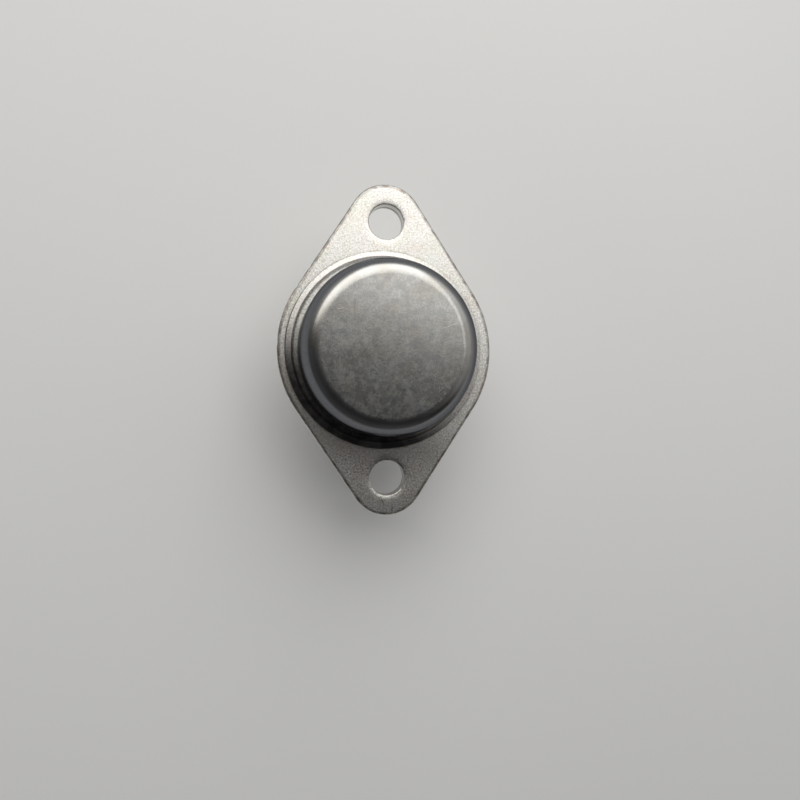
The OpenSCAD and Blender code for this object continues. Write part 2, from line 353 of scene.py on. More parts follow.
def holed_tile(top_loop, bottom_loop, on_outline, centre, radius, roll, underside_break):
    """The part of the flange round one hole, as one grid whose columns are the points of its outer
    loop. Down each column the grid runs on the top face straight from the loop to the hole, over
    the hole's rounded edge, down its wall, and on the bottom face straight back to the loop. The
    hole's points lie at the angles at which its centre sees the loop's points."""
    wall = section([
        (radius + roll + SUPPORT, plate_t, 0), (radius, plate_t, roll),
        (radius, 0, underside_break), (radius + underside_break + SUPPORT, 0, 0)
    ], spacing=0.3, arc_step=12)
    sight = unit(top_loop - centre)
    ring = centre + wall[:, :1, None] * sight
    pressed = bumps([rim_nick_depth], ring, [rim_nick_place], rim_nick_width)
    pressed = pressed * np.exp(-((plate_t - wall[:, 1:]) / rim_nick_reach) ** 2)
    ring = ring + pressed[..., None] * sight

    def face(outer, inner, z):
        """Straight lines from the outer loop in to the hole, with rows close to the loop, even rows
        on the way, and rows that stand the closer together the nearer they are to the hole."""
        length = np.linalg.norm(inner - outer, axis=-1)
        margin = np.minimum(border_band / length, 0.3)
        near_hole = np.array(rows_near_hole)[:, None] / length
        even = margin + np.linspace(0, 1, 5)[:-1, None] * (1 - near_hole[:1] - margin)
        share = np.vstack([0 * margin, margin / 3, even, 1 - near_hole, 0 * margin + 1])
        flat = outer + (inner - outer) * share[..., None]
        return np.concatenate([flat, np.full(flat.shape[:2] + (1,), z)], axis=-1), share, margin

    top, top_share, margin = face(top_loop, ring[0], plate_t)
    bottom = face(bottom_loop, ring[-1], 0)[0][::-1]
    wall_points = np.concatenate([ring, wall[:, 1:, None] + 0 * ring[..., :1]], axis=-1)
    points = dipped(np.vstack([top[:-1], wall_points, bottom[1:]]))
    edge_near_loop = np.clip(1 - top_share / margin, 0, 1) * on_outline
    edge_near_hole = hole_wear * np.clip(1 - (1 - top_share) / margin, 0, 1)
    wall_edge = hole_wear * np.clip(1 - (plate_t - wall[:, 1:]) / (3 * hole_roll), 0, 1) + 0 * margin
    zeros = np.zeros((len(bottom) - 1, len(margin)))
    edge = np.vstack([np.maximum(edge_near_loop, edge_near_hole)[:-1], wall_edge, zeros])
    in_wall = (wall[:, 1:] < plate_t - 0.5 * roll) & (wall[:, 1:] > 0.5 * underside_break)
    side = np.vstack([0 * top_share[:-1], in_wall + 0 * margin, zeros])
    run = radius * np.unwrap(np.arctan2(sight[:, 1], sight[:, 0])) + np.zeros(edge.shape)
    return patch(points, edge=edge, side=side, run=run)


def flange_patches():
    """The flange as its edge strip and four tiles: one round each mounting hole, and one round each
    seal hole, which meet along the flange's middle line. The cut lines between them run straight
    across, from outline point to outline point."""
    place, normal = flange_outline(OUTLINE_QUARTER)
    inset_top = place - (edge_roll + SUPPORT) * normal
    inset_bottom = place - (edge_break + SUPPORT) * normal
    total = len(place)
    cut = int(np.argmin(np.abs(place[:OUTLINE_QUARTER, 1] - (hole_y - cut_from_hole))))
    spacing = np.linalg.norm(place[1] - place[0])

    def even_straight(start, end, count):
        """A number of even points from start to end, without the end itself."""
        return start + (end - start) * np.linspace(0, 1, count, endpoint=False)[:, None]

    half_cut = math.ceil(place[cut, 0] / spacing)
    middle = 2 * math.ceil(place[cut, 1] / spacing)

    def end_loop(inset, first):
        """Outline from index first round the end to its mirror point, and back along the cut."""
        last = total // 2 - cut if first == cut else total - cut
        corner = inset[last]
        centre_point = np.array([0, corner[1]])
        return np.vstack([
            inset[first:last], even_straight(corner, centre_point, half_cut),
            even_straight(centre_point, inset[first], half_cut)
        ])

    def side_loop(inset, mirror):
        """Outline from the lower cut to the upper cut, along the upper cut to the middle, down the
        middle line and along the lower cut, for the right side, or mirrored for the left side."""
        lower, upper = inset[total - cut], inset[cut]
        upper_middle, lower_middle = np.array([0, upper[1]]), np.array([0, lower[1]])
        loop = np.vstack([
            inset[total - cut:], inset[:cut],
            even_straight(upper, upper_middle, half_cut),
            even_straight(upper_middle, lower_middle, middle),
            even_straight(lower_middle, lower, half_cut)
        ])
        return loop * [mirror, 1]

    end_count = total // 2 - 2 * cut
    end_on_outline = np.arange(end_count + 2 * half_cut) <= end_count
    side_on_outline = np.arange(2 * cut + 2 * half_cut + middle) <= 2 * cut
    patches = [flange_edge(place, normal)]
    for first, y in ((cut, hole_y), (total // 2 + cut, -hole_y)):
        patches.append(holed_tile(
            end_loop(inset_top, first), end_loop(inset_bottom, first), end_on_outline,
            np.array([0, y]), hole_r, hole_roll, hole_break
        ))
    for mirror, node in ((-1, "emitter_glass_seal"), (1, "base_glass_seal")):
        patches.append(holed_tile(
            side_loop(inset_top, mirror), side_loop(inset_bottom, mirror), side_on_outline,
            *round_mm(node), seal_hole_break, seal_hole_break
        ))
    return patches


# Cap

def cap_patches():
    """The cap's closed profile carried round its axis: the top, the shoulder, the wall, the bend
    into the weld track, the step up to the crest, the slope down to the brim's edge, and back along
    the inside. Outside the crest the radius wavers by a few hundredths, and so does the height of
    the crest, as a weld leaves them."""
    profile = section([
        (0, cap_h, 0), (cap_r, cap_h, shoulder_r), (cap_r, track_t, foot_r),
        (track_r, track_t, step_foot_r), (crest_r - crest_flat, crest_t, crest_inner_r),
        (crest_r, crest_t, crest_outer_r), (brim_r, brim_edge_t, brim_edge_r),
        (brim_r, 0, brim_crevice), (cap_r - cap_wall, 0, foot_r + cap_wall),
        (cap_r - cap_wall, cap_h - cap_top_t, shoulder_r - cap_wall), (0, cap_h - cap_top_t, 0)
    ], spacing=0.5, arc_step=5)
    points = revolved(profile, (cap_x, 0), CAP_STEPS)
    angle = full_turn(CAP_STEPS)
    welded = waver(angle, weld_waves) - 1
    outer = np.clip((profile[:, :1] - track_r) / (brim_r - track_r), 0, 1)
    radial = np.stack([np.cos(angle), np.sin(angle)], axis=-1)
    points[..., :2] += (brim_waver * outer * welded)[..., None] * radial
    raised = np.clip((profile[:, 1:] - brim_edge_t) / (crest_t - brim_edge_t), 0, 1) * (outer > 0)
    points[..., 2] += crest_waver * raised * welded
    points[..., 2] += plate_t
    length = np.cumsum(np.concatenate([[0], np.linalg.norm(np.diff(profile, axis=0), axis=1)]))
    return [patch(points, run=angle * cap_r + 0 * length[:, None], down=length[:, None] + 0 * angle)]


# Glass seals and leads

def glass_patches(node, wire_r):
    """A glass bead carried round its wire: its wall, and a dished face at both ends, whose height
    falls from the wall and from the wire towards the middle with the square of the distance from
    the middle."""
    centre, seal_r = round_mm(node)
    share = np.linspace(-1, 1, 25)

    def dish(inner, z, side):
        """The face from radius inner to the wall, at height z, hollowed towards side."""
        r = (inner + seal_r) / 2 + share * (seal_r - inner) / 2
        return np.stack([r, z + side * seal_dish * (1 - share ** 2)], axis=-1)

    bottom = dish(wire_r, seal_recess, 1)
    top = dish(post_r, plate_t - seal_recess, -1)[::-1]
    wall_end = seal_recess + seal_chamfer
    wall = np.array([[seal_r, wall_end], [seal_r, plate_t - wall_end]])
    profile = np.vstack([bottom, wall, top, bottom[:1]])
    return [patch(revolved(profile, centre, SEAL_STEPS))]


def wire_patches(node):
    """A lead carried round its own line: the cropped tip with its rounded edge, the straight wire,
    the cone inside the glass and the post with its chamfered top. The tip's crop slopes a little to
    one side."""
    tip, top = (corner[2] for corner in box_mm(node))
    centre, wire_r = round_mm(node)
    profile = section([
        (0, tip, 0), (wire_r - wire_tip, tip, 0.06), (wire_r, tip + wire_tip, 0.12),
        (wire_r, seal_recess, 0.05), (post_r, plate_t - seal_recess, 0.05),
        (post_r, top - post_chamfer, 0.03), (post_r - post_chamfer, top, 0.03), (0, top, 0)
    ], spacing=0.8, arc_step=12)
    points = revolved(profile, centre, WIRE_STEPS)
    slope = np.clip(1 - (points[..., 2] - tip) / (2 * wire_tip), 0, 1)
    points[..., 2] += crop_slope * slope * (1 + (points[..., 0] - centre[0]) / wire_r)
    angle = full_turn(WIRE_STEPS)
    return [patch(points, run=angle * wire_r + 0 * profile[:, :1])]


# Shader nodes

def set_inputs(tree, node, inputs):
    """Gives each named input of a node its value, or a link where the value is a socket."""
    for key, value in inputs.items():
        if isinstance(value, bpy.types.NodeSocket):
            tree.links.new(value, node.inputs[key])
        else:
            node.inputs[key].default_value = value


def add(tree, kind, inputs=None, **settings):
    """A node with its settings, and with a value or a link for each of its named inputs."""
    node = tree.nodes.new(kind)
    for key, value in settings.items():
        setattr(node, key, value)
    set_inputs(tree, node, inputs or {})
    return node


def calc(tree, operation, first, second=0.0, clamp=False):
    """Output of a Math node."""
    node = add(tree, "ShaderNodeMath", {0: first, 1: second}, operation=operation, use_clamp=clamp)
    return node.outputs[0]


def times(tree, first, second):
    """Product of two values, such as a mask and the share of it that is wanted."""
    return calc(tree, "MULTIPLY", first, second)


def vector_math(tree, operation, first, second=(0.0, 0.0, 0.0)):
    """Outputs of a Vector Math node: Vector, or Value for a length or a dot product."""
    return add(tree, "ShaderNodeVectorMath", {0: first, 1: second}, operation=operation).outputs


def remap(tree, value, low, high, to_low=0.0, to_high=1.0):
    """value taken from the range low to high smoothly to the range to_low to to_high."""
    return add(tree, "ShaderNodeMapRange", {
        "Value": value, "From Min": low, "From Max": high, "To Min": to_low, "To Max": to_high
    }, interpolation_type="SMOOTHSTEP").outputs["Result"]


def mix(tree, share, first, second, mode="MIX"):
    """Output of a colour Mix node."""
    return add(tree, "ShaderNodeMix", {
        "Factor": share, 6: first, 7: second
    }, data_type="RGBA", blend_type=mode).outputs[2]


def parts_of(tree, vector):
    """X, Y and Z of a vector, by name."""
    return add(tree, "ShaderNodeSeparateXYZ", {0: vector}).outputs


def grey(tree, value):
    """Grey colour of a value."""
    return add(tree, "ShaderNodeCombineColor", {0: value, 1: value, 2: value}).outputs[0]


def noise(tree, vector, scale, detail=2.0, roughness=0.5):
    """Value of a noise texture, from 0 to 1."""
    return add(tree, "ShaderNodeTexNoise", {
        "Vector": vector, "Scale": scale, "Detail": detail, "Roughness": roughness
    }).outputs["Fac"]


def new_group(name, inputs, outputs):
    """An empty node group with named sockets. Returns it with its given values and its results,
    both by name."""
    group = bpy.data.node_groups.new(name, "ShaderNodeTree")
    for socket, kind in inputs.items():
        group.interface.new_socket(socket, in_out="INPUT", socket_type=kind)
    for socket, kind in outputs.items():
        group.interface.new_socket(socket, in_out="OUTPUT", socket_type=kind)
    given = group.nodes.new("NodeGroupInput").outputs
    return group, given, group.nodes.new("NodeGroupOutput").inputs


def use(tree, group, **inputs):
    """Outputs of a node group placed in a material, with its inputs set."""
    return add(tree, "ShaderNodeGroup", inputs, node_tree=group).outputs


FLOAT = "NodeSocketFloat"
VECTOR = "NodeSocketVector"


def make_grain_group():
    """Matte plating: 0.65 of a noise at the grain's size and 0.35 of one 2.7 times as fine. Height
    drives the bump, and Shade is the same pattern from 0 to 1 for colour and roughness."""
    group, given, out = new_group(
        "plating_grain", {"Place": VECTOR, "Size": FLOAT}, {"Height": FLOAT, "Shade": FLOAT}
    )
    scale = calc(group, "DIVIDE", 1.0, given["Size"])
    coarse = noise(group, given["Place"], scale, 2.0, 0.6)
    fine = noise(group, given["Place"], times(group, scale, 2.7), 2.0, 0.6)
    height = calc(group, "ADD", times(group, coarse, 0.65), times(group, fine, 0.35))
    group.links.new(height, out["Height"])
    group.links.new(remap(group, height, 0.36, 0.64), out["Shade"])
    return group


def make_stain_group():
    """Patches that handling and age leave: two noises of one size, the second moved away from the
    first, each cut to soft-edged patches."""
    group, given, out = new_group(
        "stain_patches", {"Place": VECTOR, "Size": FLOAT}, {"First": FLOAT, "Second": FLOAT}
    )
    scale = calc(group, "DIVIDE", 1.0, given["Size"])
    moved = vector_math(group, "ADD", given["Place"], (31.0, 17.0, 5.0))["Vector"]
    first = noise(group, given["Place"], scale, 3.0, 0.5)
    second = noise(group, moved, scale, 3.0, 0.5)
    group.links.new(remap(group, first, 0.36, 0.7), out["First"])
    group.links.new(remap(group, second, 0.36, 0.7), out["Second"])
    return group


def make_hairline_group():
    """Fine straight scratches in one direction: noise stretched along X after the place is turned
    by Angle, cut to thin lines, and broken up by a coarser noise."""
    group, given, out = new_group(
        "hairlines", {"Place": VECTOR, "Angle": FLOAT, "Spacing": FLOAT}, {"Mask": FLOAT}
    )
    turned = add(group, "ShaderNodeVectorRotate", {
        "Vector": given["Place"], "Angle": given["Angle"]
    }, rotation_type="Z_AXIS").outputs[0]
    stretched = vector_math(group, "MULTIPLY", turned, (0.035, 1.0, 1.0))["Vector"]
    scale = calc(group, "DIVIDE", 1.0, given["Spacing"])
    lines = noise(group, stretched, scale, 1.0, 0.5)
    broken = noise(group, given["Place"], times(group, scale, 0.22), 1.0)
    thin = remap(group, lines, 0.64, 0.72)
    group.links.new(times(group, thin, remap(group, broken, 0.45, 0.6)), out["Mask"])
    return group


def make_mark_group():
    """One straight mark: 1 on the line from Start to End and 0 further off than Width, by the
    distance from the place to its nearest point on the line."""
    group, given, out = new_group(
        "straight_mark", {"Place": VECTOR, "Start": VECTOR, "End": VECTOR, "Width": FLOAT},
        {"Mask": FLOAT}
    )
    line = vector_math(group, "SUBTRACT", given["End"], given["Start"])["Vector"]
    reach = vector_math(group, "SUBTRACT", given["Place"], given["Start"])["Vector"]
    along = vector_math(group, "DOT_PRODUCT", reach, line)["Value"]
    whole = vector_math(group, "DOT_PRODUCT", line, line)["Value"]
    share = calc(group, "DIVIDE", along, whole, clamp=True)
    nearest = add(group, "ShaderNodeVectorMath", {0: line, "Scale": share}, operation="SCALE")
    off_line = vector_math(group, "SUBTRACT", reach, nearest.outputs[0])["Vector"]
    gap = vector_math(group, "LENGTH", off_line)["Value"]
    mask = calc(group, "SUBTRACT", 1.0, calc(group, "DIVIDE", gap, given["Width"]), clamp=True)
    group.links.new(mask, out["Mask"])
    return group


def make_ring_group():
    """A ring round the can's axis: 1 between the radii Inner and Outer in millimetres, and falling
    to 0 over Soft on both sides of it."""
    group, given, out = new_group(
        "ring_round_can", {"Place": VECTOR, "Inner": FLOAT, "Outer": FLOAT, "Soft": FLOAT},
        {"Mask": FLOAT}
    )
    parts = parts_of(group, given["Place"])
    from_axis = add(group, "ShaderNodeCombineXYZ", {
        0: calc(group, "SUBTRACT", parts["X"], float(cap_x)), 1: parts["Y"]
    }).outputs[0]
    radius = vector_math(group, "LENGTH", from_axis)["Value"]
    inside = calc(group, "SUBTRACT", given["Inner"], radius)
    outside = calc(group, "SUBTRACT", radius, given["Outer"])
    beyond = calc(group, "DIVIDE", calc(group, "MAXIMUM", inside, outside), given["Soft"])
    group.links.new(remap(group, beyond, 1.0, 0.0), out["Mask"])
    return group


def make_drawn_line_group():
    """Fine lines drawn or sheared into a wall: noise of the distance round the wall, drawn out
    along Height so that each line runs Stretch times as far as it is wide."""
    group, given, out = new_group(
        "drawn_lines", {"Run": FLOAT, "Height": FLOAT, "Width": FLOAT, "Stretch": FLOAT},
        {"Shade": FLOAT}
    )
    height = calc(group, "DIVIDE", given["Height"], given["Stretch"])
    drawn = add(group, "ShaderNodeCombineXYZ", {0: given["Run"], 1: height}).outputs[0]
    lines = noise(group, drawn, calc(group, "DIVIDE", 1.0, given["Width"]), 2.0, 0.6)
    group.links.new(remap(group, lines, 0.3, 0.7), out["Shade"])
    return group


grain_group = make_grain_group()
stain_group = make_stain_group()
hairline_group = make_hairline_group()
mark_group = make_mark_group()
ring_group = make_ring_group()
drawn_line_group = make_drawn_line_group()


# Materials

def new_material(name):
    """An empty material. Returns it with its tree, its Principled shader and the place on the
    object in mm."""
    material = bpy.data.materials.new(name)
    material.use_nodes = True
    tree = material.node_tree
    shader = tree.nodes["Principled BSDF"]
    on_object = tree.nodes.new("ShaderNodeTexCoord").outputs["Object"]
    place = add(tree, "ShaderNodeVectorMath", {0: on_object, "Scale": MM_PER_METRE}, operation="SCALE")
    return material, tree, shader, place.outputs[0]


def attribute(tree, name):
    """Value of one of the piece's own attributes."""
    return add(tree, "ShaderNodeAttribute", attribute_name=name).outputs["Fac"]


def grain_in(tree, place, size):
    """Height and Shade of plating with grains of one size in millimetres."""
    return use(tree, grain_group, Place=place, Size=size)


def stains_in(tree, place, size):
    """First and Second mask of stains of one size in millimetres."""
    return use(tree, stain_group, Place=place, Size=size)


def ring_mask(tree, place, inner, outer, soft):
    """Mask of a ring round the can's axis."""
    return use(tree, ring_group, Place=place, Inner=inner, Outer=outer, Soft=soft)["Mask"]


def bump(tree, height, depth_mm, normal=None):
    """Normal bumped by a height of 0 to 1 that stands for depth_mm."""
    inputs = {"Height": height, "Strength": 1.0, "Distance": depth_mm * MM}
    if normal is not None:
        inputs["Normal"] = normal
    return add(tree, "ShaderNodeBump", inputs).outputs["Normal"]


def finish_shader(tree, shader, colour, roughness, normal, metallic=1.0):
    """Gives a Principled shader its colour, roughness, normal and metallic value."""
    set_inputs(tree, shader, {
        "Base Color": colour, "Roughness": roughness, "Normal": normal, "Metallic": metallic
    })


# Colours of the nickel plate and what lies on it, of the punched steel, and of the can
nickel_pale = (0.71, 0.705, 0.68, 1)
nickel_olive = (0.62, 0.625, 0.54, 1)
nickel_pink = (0.69, 0.62, 0.59, 1)
olive_speck = (0.37, 0.35, 0.22, 1)
# Brown of grime and marks, also deepened into painted shade in the brim's step towards the shaded side
grime_and_shade_brown = (0.16, 0.11, 0.07, 1)
# Dark of worn edges, also used for painted shade: the brim's edge line, near the can, and at the can's
# foot
wear_and_shade_dark = (0.10, 0.085, 0.075, 1)
# Nearly black of the painted shadow on the brim's shaded side
painted_shadow_black = (0.045, 0.04, 0.04, 1)
rust_orange = (0.33, 0.17, 0.08, 1)
steel_burnished = (0.56, 0.55, 0.52, 1)
steel_torn = (0.40, 0.385, 0.36, 1)
cap_grey = (0.45, 0.45, 0.435, 1)
cap_brownish = (0.37, 0.35, 0.31, 1)
cap_cloud = (0.27, 0.275, 0.28, 1)
# Darker greys of the can's wall and of its shoulder's outer band: painted shade in place of dark
# reflections
cap_wall_shaded_grey = (0.30, 0.305, 0.31, 1)
cap_shoulder_shaded_grey = (0.17, 0.175, 0.185, 1)
scratch_pale = (0.72, 0.71, 0.70, 1)
# Edge tint of the can's nickel: the share of light that it keeps where it is seen at a low angle
cap_edge_tint = (0.38, 0.38, 0.4, 1)

# Colours of the leads, the sealing glass and the chip
wire_pale = (0.74, 0.72, 0.68, 1)
wire_dull = (0.55, 0.52, 0.46, 1)
wire_streak = (0.45, 0.43, 0.40, 1)
glass_dark = (0.035, 0.06, 0.05, 1)
glass_cloud = (0.10, 0.14, 0.12, 1)
glass_bubble = (0.25, 0.30, 0.27, 1)
silicon_dark = (0.12, 0.13, 0.16, 1)
silicon_cloud = (0.20, 0.21, 0.25, 1)


def blend(tree, mask, first, second):
    """A value that is first where the mask is 0 and second where it is 1."""
    node = add(tree, "ShaderNodeMapRange", {"Value": mask, "To Min": first, "To Max": second})
    return node.outputs["Result"]


def paint_marks(tree, place, colour, marks, ink):
    """The colour with straight marks in ink. Each mark is its start, its end, its width and its
    strength."""
    for start, end, width, strength in marks:
        mark = use(tree, mark_group, Place=place, Start=start, End=end, Width=width)["Mask"]
        colour = mix(tree, times(tree, mark, strength), colour, ink)
    return colour


def matte_nickel(tree, place):
    """Colour, roughness and height of matte nickel plate: fine grain, olive specks, olive and
    pinkish patches."""
    grain = grain_in(tree, place, 0.2)
    stains = stains_in(tree, place, 2.6)
    specks = stains_in(tree, place, 0.24)
    colour = mix(tree, times(tree, stains["First"], 0.45), nickel_pale, nickel_olive)
    colour = mix(tree, times(tree, stains["Second"], 0.45), colour, nickel_pink)
    speck = remap(tree, specks["First"], 0.6, 1.0)
    colour = mix(tree, times(tree, speck, 0.38), colour, olive_speck)
    shade = blend(tree, grain["Shade"], 0.67, 1.19)
    colour = mix(tree, 1.0, colour, grey(tree, shade), "MULTIPLY")
    roughness = blend(tree, grain["Shade"], 0.30, 0.44)
    return colour, roughness, grain["Height"]


# Direction of the side on which painted shade darkens the brim, the can's foot and step, and the flange
# beside it
shaded_side = (-0.5, -0.866, 0.0)


def towards_shaded_side(tree, place):
    """How far a place lies towards the side of the painted shade, in millimetres."""
    return vector_math(tree, "DOT_PRODUCT", place, shaded_side)["Value"]


# Straight marks seen in the photograph, as start, end, width and strength
flange_marks = [
    ((-0.73, -17.42, plate_t), (-0.38, -18.24, plate_t), 0.09, 0.85),
    ((0.58, -18.28, plate_t), (0.57, -19.1, plate_t), 0.1, 0.85),
    ((6.0, -11.9, plate_t), (6.1, -13.3, plate_t), 0.12, 0.3),
]
cap_pale_scratches = [
    ((-6.18, 3.87, cap_top), (-5.59, 3.96, cap_top), 0.07, 0.8),
    ((5.44, 2.03, cap_top), (6.87, 2.58, cap_top), 0.06, 0.5),
    ((-3.9, -4.4, cap_top), (-3.5, -4.3, cap_top), 0.09, 0.45),
    ((2.6, -6.1, cap_top), (3.3, -5.6, cap_top), 0.05, 0.3),
]
cap_dark_scratches = [
    ((-4.36, 5.46, cap_top), (-4.38, 3.2, cap_top), 0.09, 0.35),
    ((-6.1, 3.75, cap_top), (-5.6, 3.83, cap_top), 0.07, 0.45),
    ((-1.2, -6.9, cap_top), (0.5, -7.3, cap_top), 0.07, 0.25),
]


def make_flange_material():
    """Matte nickel on the faces, brown in the crevice round the brim, a dark line at the brim's edge
    that is partly painted shade, painted shade near the can on the shaded side, dark worn edges with
    spots of rust, and punched walls with a smooth burnished band above a grainy torn one."""
    material, tree, shader, place = new_material("flange_matte_nickel")
    colour, roughness, height = matte_nickel(tree, place)
    z = parts_of(tree, place)["Z"]
    patches = stains_in(tree, place, 0.9)
    on_top = remap(tree, z, plate_t - 0.1, plate_t - 0.02)
    halo = ring_mask(tree, place, brim_r - 0.3, brim_r + 0.03, 0.35)
    line = ring_mask(tree, place, brim_r - 0.3, brim_r + 0.03, 0.11)
    halo = times(tree, halo, on_top)
    colour = mix(tree, times(tree, halo, blend(tree, patches["First"], 0.08, 0.3)), colour, grime_and_shade_brown)
    facing = towards_shaded_side(tree, place)
    # The dark line round the brim's edge is partly a dark joint and partly painted shade, stronger
    # towards the shaded side
    line = times(tree, line, remap(tree, facing, -6.0, 5.0, 0.3, 0.95))
    colour = mix(tree, times(tree, line, on_top), colour, wear_and_shade_dark)
    # Painted shade: the flange darkens towards the can on the shaded side
    near_can = ring_mask(tree, place, 0.0, brim_r, 5.0)
    painted_shade_near_can = times(tree, times(tree, near_can, on_top), remap(tree, facing, 3.0, 9.0, 0.0, 0.5))
    colour = mix(tree, painted_shade_near_can, colour, wear_and_shade_dark)
    edge = attribute(tree, "edge")
    worn = times(tree, remap(tree, edge, 0.45, 1.0), blend(tree, patches["First"], 0.25, 0.75))
    colour = mix(tree, worn, colour, wear_and_shade_dark)
    spots = stains_in(tree, place, 0.28)
    rust = times(tree, remap(tree, edge, 0.4, 0.9), remap(tree, spots["Second"], 0.55, 0.85))
    colour = mix(tree, times(tree, rust, 0.3), colour, rust_orange)
    side = attribute(tree, "side")
    run = attribute(tree, "run")
    sheared = use(tree, drawn_line_group, Run=run, Height=z, Width=0.06, Stretch=14.0)["Shade"]
    coarse = use(tree, drawn_line_group, Run=run, Height=z, Width=0.17, Stretch=1.6)["Shade"]
    torn = remap(tree, z, plate_t - burnish_end + 0.02, plate_t - burnish_end - 0.08)
    burnished_colour = mix(tree, times(tree, sheared, 0.5), nickel_pale, steel_burnished)
    torn_colour = mix(tree, coarse, steel_burnished, steel_torn)
    wall_colour = mix(tree, torn, burnished_colour, torn_colour)
    colour = mix(tree, times(tree, side, 0.85), colour, wall_colour)
    roughness = blend(tree, side, roughness, blend(tree, torn, 0.3, 0.46))
    relief = blend(tree, torn, times(tree, sheared, 0.4), times(tree, coarse, 1.6))
    height = calc(tree, "ADD", height, times(tree, side, relief))
    colour = paint_marks(tree, place, colour, flange_marks, grime_and_shade_brown)
    finish_shader(tree, shader, colour, roughness, bump(tree, height, 0.018))
    return material


def make_cap_material():
    """Semi-bright nickel on the can, clouded by handling and lightly scratched on top, with painted
    shade darkening the drawn wall and more so its shoulder, painted shade at its foot on the shaded
    side, and matte on the pressed brim, whose slope is pinkish, whose step holds brown grime deepened
    by painted shade on the shaded side, and whose shaded side is painted nearly black as a shadow."""
    material, tree, shader, place = new_material("cap_bright_nickel")
    matte_colour, matte_roughness, matte_height = matte_nickel(tree, place)
    z = parts_of(tree, place)["Z"]
    on_brim = remap(tree, z, plate_t + 0.8, plate_t + 0.5)
    large = stains_in(tree, place, 2.4)
    clouds = stains_in(tree, place, 0.85)
    fine = stains_in(tree, place, 0.3)
    handled = ring_mask(tree, place, -1.0, cap_r - shoulder_r - 0.2, 0.9)
    colour = mix(tree, times(tree, large["First"], 0.7), cap_grey, cap_brownish)
    for mask, share, tint in (
        (clouds["First"], 0.55, cap_cloud), (clouds["Second"], 0.35, cap_brownish),
        (fine["First"], 0.4, cap_cloud)
    ):
        strength = times(tree, handled, share)
        colour = mix(tree, times(tree, mask, strength), colour, tint)
    colour = paint_marks(tree, place, colour, cap_dark_scratches, grime_and_shade_brown)
    colour = paint_marks(tree, place, colour, cap_pale_scratches, scratch_pale)
    wall = ring_mask(tree, place, cap_r - 0.65, cap_r + 0.2, 0.65)
    run = attribute(tree, "run")
    drawn = use(tree, drawn_line_group, Run=run, Height=z, Width=0.09, Stretch=30.0)["Shade"]
    # Painted shade: the wall is painted darker than the top, and the shoulder's outer band darker
    # still, in place of dark reflections
    on_shoulder = remap(tree, z, cap_top - 2.6, cap_top - 1.5)
    wall_colour = mix(tree, on_shoulder, cap_wall_shaded_grey, cap_shoulder_shaded_grey)
    colour = mix(tree, wall, colour, wall_colour)
    colour = mix(tree, times(tree, wall, times(tree, drawn, 0.2)), colour, cap_cloud)
    smudged = calc(tree, "ADD", times(tree, fine["Second"], 0.035), times(tree, clouds["Second"], 0.03))
    smudged = times(tree, smudged, handled)
    roughness = calc(tree, "ADD", blend(tree, large["Second"], 0.23, 0.25), smudged)
    grain = grain_in(tree, place, 0.3)["Height"]
    height = calc(tree, "ADD", times(tree, grain, 0.3), times(tree, wall, times(tree, drawn, 0.15)))
    slope = ring_mask(tree, place, crest_r - 0.05, crest_r + 0.2, 0.14)
    step = ring_mask(tree, place, track_r, crest_r - crest_flat, 0.08)
    foot = ring_mask(tree, place, cap_r - 0.1, cap_r + 0.16, 0.14)
    patches = stains_in(tree, place, 1.3)
    pinkish = times(tree, slope, blend(tree, patches["First"], 0.1, 0.5))
    matte_colour = mix(tree, pinkish, matte_colour, nickel_pink)
    facing = towards_shaded_side(tree, place)
    # Brown grime in the brim's step, made stronger towards the shaded side as painted shade
    step_grime_and_shade = times(tree, step, blend(tree, patches["Second"], 0.05, 0.3))
    step_grime_and_shade = times(tree, step_grime_and_shade, remap(tree, facing, -6.0, 4.0, 0.4, 1.0))
    matte_colour = mix(tree, step_grime_and_shade, matte_colour, grime_and_shade_brown)
    # Painted shade in the crevice at the can's foot, only towards the shaded side
    painted_shade_at_foot = times(tree, foot, remap(tree, facing, -4.0, 4.0, 0.0, 0.6))
    matte_colour = mix(tree, painted_shade_at_foot, matte_colour, wear_and_shade_dark)
    # Painted shadow: on the shaded side the brim is painted nearly black where the can's shadow falls
    painted_shadow = times(tree, remap(tree, facing, 2.0, 8.5), blend(tree, patches["First"], 0.98, 0.88))
    matte_colour = mix(tree, painted_shadow, matte_colour, painted_shadow_black)
    colour = mix(tree, on_brim, colour, matte_colour)
    roughness = blend(tree, on_brim, roughness, calc(tree, "ADD", matte_roughness, 0.08))
    height = blend(tree, on_brim, height, matte_height)
    finish_shader(tree, shader, colour, roughness, bump(tree, height, 0.008))
    shader.inputs["Specular Tint"].default_value = cap_edge_tint
    return material


def make_wire_material():
    """Plated wire: fine lines drawn along it, and dull patches."""
    material, tree, shader, place = new_material("lead_drawn_wire")
    run = attribute(tree, "run")
    height = times(tree, parts_of(tree, place)["Z"], 0.05)
    streak_place = add(tree, "ShaderNodeCombineXYZ", {0: run, 1: height}).outputs[0]
    streaks = noise(tree, streak_place, 14.0, 3.0, 0.6)
    stains = stains_in(tree, place, 1.2)
    colour = mix(tree, times(tree, stains["First"], 0.5), wire_pale, wire_dull)
    colour = mix(tree, times(tree, streaks, 0.3), colour, wire_streak)
    roughness = calc(tree, "ADD", 0.24, times(tree, stains["First"], 0.14))
    finish_shader(tree, shader, colour, roughness, bump(tree, streaks, 0.006))
    return material


